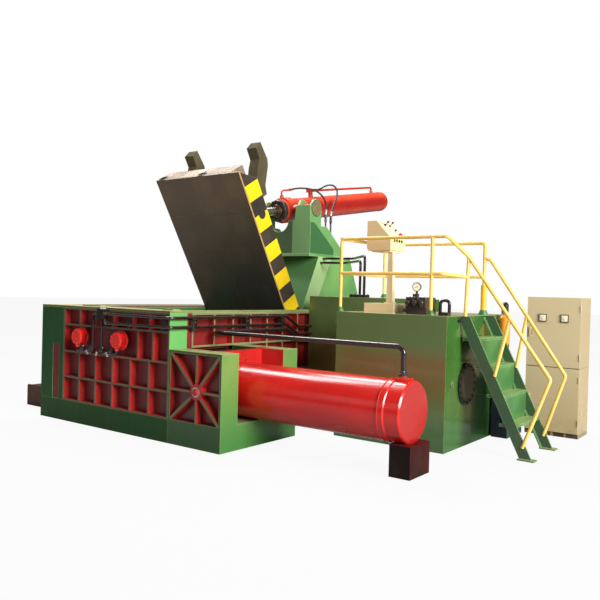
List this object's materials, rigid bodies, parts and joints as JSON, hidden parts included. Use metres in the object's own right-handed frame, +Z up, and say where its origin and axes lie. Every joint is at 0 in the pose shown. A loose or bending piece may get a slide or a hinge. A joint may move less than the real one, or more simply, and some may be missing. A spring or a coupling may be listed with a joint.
{
  "type": "recycling baler",
  "caption": "Horizontal scrap baler with a ribbed pressing box, a hydraulic lid swung up by a cylinder on a tower, a side ram, an oil tank with a railed deck, stairs and a control desk.",
  "frame": {"origin": "on the floor under the middle of the main pressing box, at the underside of its floor frame", "axes": "+X along the box's near face from the bale outlet towards the side ram, stairs and cabinet; +Y from the near face towards the main ram; +Z up"},
  "size_m": [7.1128, 6.5054, 3.8449],
  "materials": {
    "base_frame": "worn satin",
    "near_wall": "dull satin",
    "side_wall": "dull satin",
    "rear_wall": "dull satin",
    "rim_frame": "satin",
    "near_ribs": "satin",
    "side_ribs": "satin",
    "gate_housing": "satin",
    "gate_plate": "worn",
    "gate_cylinder": "gloss",
    "side_housing": "satin",
    "panel_ribs": "satin",
    "side_cylinder_barrel": "gloss",
    "side_ram_head": "worn",
    "side_ram_rod": "polished",
    "main_housing": "satin",
    "main_cylinder_barrel": "gloss",
    "cylinder_feet": "dull",
    "main_ram_head": "worn",
    "main_ram_rod": "polished",
    "lid_frame": "worn and greasy",
    "lid_wear_plates": "worn",
    "lid_hooks": "worn",
    "lid_hinge_arms": "satin",
    "lid_rod_pin": "turned",
    "hinge_brackets": "satin",
    "hinge_pin": "turned",
    "lid_cylinder_barrel": "gloss",
    "lid_cylinder_gland": "satin",
    "lid_cylinder_rod": "polished",
    "tower_stand": "satin",
    "trunnion_frame": "satin",
    "lock_pin_left": "turned",
    "lock_pin_right": "turned",
    "lock_cylinders": "gloss",
    "hydraulic_pipes": "gloss",
    "barrel_hoses": "matt",
    "barrel_pipes": "gloss",
    "discharge_table": "worn",
    "platform_tank": "gloss",
    "rear_tank": "gloss",
    "manhole_cover": "satin",
    "gas_bottle": "gloss",
    "pump_motor": "satin",
    "near_rail": "satin",
    "far_rail": "satin",
    "stairs": "satin",
    "desk_head": "satin",
    "desk_button_1": "gloss",
    "desk_button_2": "gloss",
    "desk_button_3": "gloss",
    "desk_button_4": "gloss",
    "desk_lever_left": "gloss",
    "desk_lever_right": "gloss",
    "stop_knob": "gloss",
    "desk_stand": "satin",
    "valve_bank": "satin",
    "cabinet_case": "satin",
    "cabinet_lower_door": "satin",
    "cabinet_upper_door": "satin"
  },
  "bodies": {
    "frame": {"base_frame": "base_frame", "near_wall": "near_wall", "side_wall": "side_wall", "rear_wall": "rear_wall", "rim_frame": "rim_frame", "near_ribs": "near_ribs", "side_ribs": "side_ribs", "gate_housing": "gate_housing", "gate_cylinder": "gate_cylinder", "side_housing": "side_housing", "panel_ribs": "panel_ribs", "side_cylinder_barrel": "side_cylinder_barrel", "main_housing": "main_housing", "main_cylinder_barrel": "main_cylinder_barrel", "cylinder_feet": "cylinder_feet", "hinge_brackets": "hinge_brackets", "hinge_pin": "hinge_pin", "tower_stand": "tower_stand", "trunnion_frame": "trunnion_frame", "lock_cylinders": "lock_cylinders", "hydraulic_pipes": "hydraulic_pipes", "barrel_hoses": "barrel_hoses", "discharge_table": "discharge_table", "platform_tank": "platform_tank", "rear_tank": "rear_tank", "manhole_cover": "manhole_cover", "gas_bottle": "gas_bottle", "pump_motor": "pump_motor", "near_rail": "near_rail", "far_rail": "far_rail", "stairs": "stairs", "desk_head": "desk_head", "desk_stand": "desk_stand", "valve_bank": "valve_bank", "cabinet_case": "cabinet_case"},
    "lid": {"lid_frame": "lid_frame", "lid_wear_plates": "lid_wear_plates", "lid_hooks": "lid_hooks", "lid_hinge_arms": "lid_hinge_arms", "lid_rod_pin": "lid_rod_pin"},
    "lid_rod": {"lid_cylinder_rod": "lid_cylinder_rod"},
    "lid_barrel": {"lid_cylinder_barrel": "lid_cylinder_barrel", "lid_cylinder_gland": "lid_cylinder_gland", "barrel_pipes": "barrel_pipes"},
    "side_ram": {"side_ram_head": "side_ram_head", "side_ram_rod": "side_ram_rod"},
    "main_ram": {"main_ram_head": "main_ram_head", "main_ram_rod": "main_ram_rod"},
    "gate": {"gate_plate": "gate_plate"},
    "lock_left": {"lock_pin_left": "lock_pin_left"},
    "lock_right": {"lock_pin_right": "lock_pin_right"},
    "button_1": {"desk_button_1": "desk_button_1"},
    "button_2": {"desk_button_2": "desk_button_2"},
    "button_3": {"desk_button_3": "desk_button_3"},
    "button_4": {"desk_button_4": "desk_button_4"},
    "lever_left": {"desk_lever_left": "desk_lever_left"},
    "lever_right": {"desk_lever_right": "desk_lever_right"},
    "stop": {"stop_knob": "stop_knob"},
    "lower_door": {"cabinet_lower_door": "cabinet_lower_door"},
    "upper_door": {"cabinet_upper_door": "cabinet_upper_door"}
  },
  "joints": [
    {"name": "lid_hinge", "type": "hinge", "parent": "frame", "child": "lid", "pos_m": [0.2985, 1.353, 1.396], "axis": [1, 0, 0], "range_deg": [0, 59.5]},
    {"name": "rod_pivot", "type": "hinge", "parent": "lid", "child": "lid_rod", "pos_m": [0.2985, 0.31671, 2.83339], "axis": [1, 0, 0], "range_deg": [-29.8, 0]},
    {"name": "barrel_swing", "type": "hinge", "parent": "frame", "child": "lid_barrel", "pos_m": [0.2985, 1.85983, 3.09397], "axis": [1, 0, 0], "range_deg": [0, 29.8], "deforming": ["barrel_hoses"]},
    {"name": "side_ram_slide", "type": "slide", "parent": "frame", "child": "side_ram", "axis": [-1, 0, 0], "range_m": [0, 1.85]},
    {"name": "main_ram_slide", "type": "slide", "parent": "frame", "child": "main_ram", "axis": [0, -1, 0], "range_m": [0, 1.65]},
    {"name": "gate_slide", "type": "slide", "parent": "frame", "child": "gate", "axis": [0, 1, 0], "range_m": [0, 1.08]},
    {"name": "lock_left_slide", "type": "slide", "parent": "frame", "child": "lock_left", "axis": [0, 1, 0], "range_m": [0, 0.13]},
    {"name": "lock_right_slide", "type": "slide", "parent": "frame", "child": "lock_right", "axis": [0, 1, 0], "range_m": [0, 0.13]},
    {"name": "button_1_press", "type": "slide", "parent": "frame", "child": "button_1", "axis": [-1, 0, 0], "range_m": [0, 0.006], "stiffness_N_per_m": 400},
    {"name": "button_2_press", "type": "slide", "parent": "frame", "child": "button_2", "axis": [-1, 0, 0], "range_m": [0, 0.006], "stiffness_N_per_m": 400},
    {"name": "button_3_press", "type": "slide", "parent": "frame", "child": "button_3", "axis": [-1, 0, 0], "range_m": [0, 0.006], "stiffness_N_per_m": 400},
    {"name": "button_4_press", "type": "slide", "parent": "frame", "child": "button_4", "axis": [-1, 0, 0], "range_m": [0, 0.006], "stiffness_N_per_m": 400},
    {"name": "lever_left_tilt", "type": "hinge", "parent": "frame", "child": "lever_left", "pos_m": [2.86597, 0.585, 2.63551], "axis": [0, 1, 0], "range_deg": [-25, 25]},
    {"name": "lever_right_tilt", "type": "hinge", "parent": "frame", "child": "lever_right", "pos_m": [2.86597, 0.705, 2.63551], "axis": [0, 1, 0], "range_deg": [-25, 25]},
    {"name": "stop_press", "type": "slide", "parent": "frame", "child": "stop", "axis": [-0.7266, 0, -0.6871], "range_m": [0, 0.006], "stiffness_N_per_m": 600, "springref_m": -0.002},
    {"name": "lower_door_hinge", "type": "hinge", "parent": "frame", "child": "lower_door", "pos_m": [4.8315, 2.182, 0.9], "axis": [0, 0, 1], "range_deg": [0, 110]},
    {"name": "upper_door_hinge", "type": "hinge", "parent": "frame", "child": "upper_door", "pos_m": [4.8315, 2.182, 0.9], "axis": [0, 0, 1], "range_deg": [0, 110]}
  ],
  "couplings": [
    {"joint": "rod_pivot", "follows": "lid_hinge", "ratio": -0.5},
    {"joint": "barrel_swing", "follows": "lid_hinge", "ratio": 0.5}
  ]
}
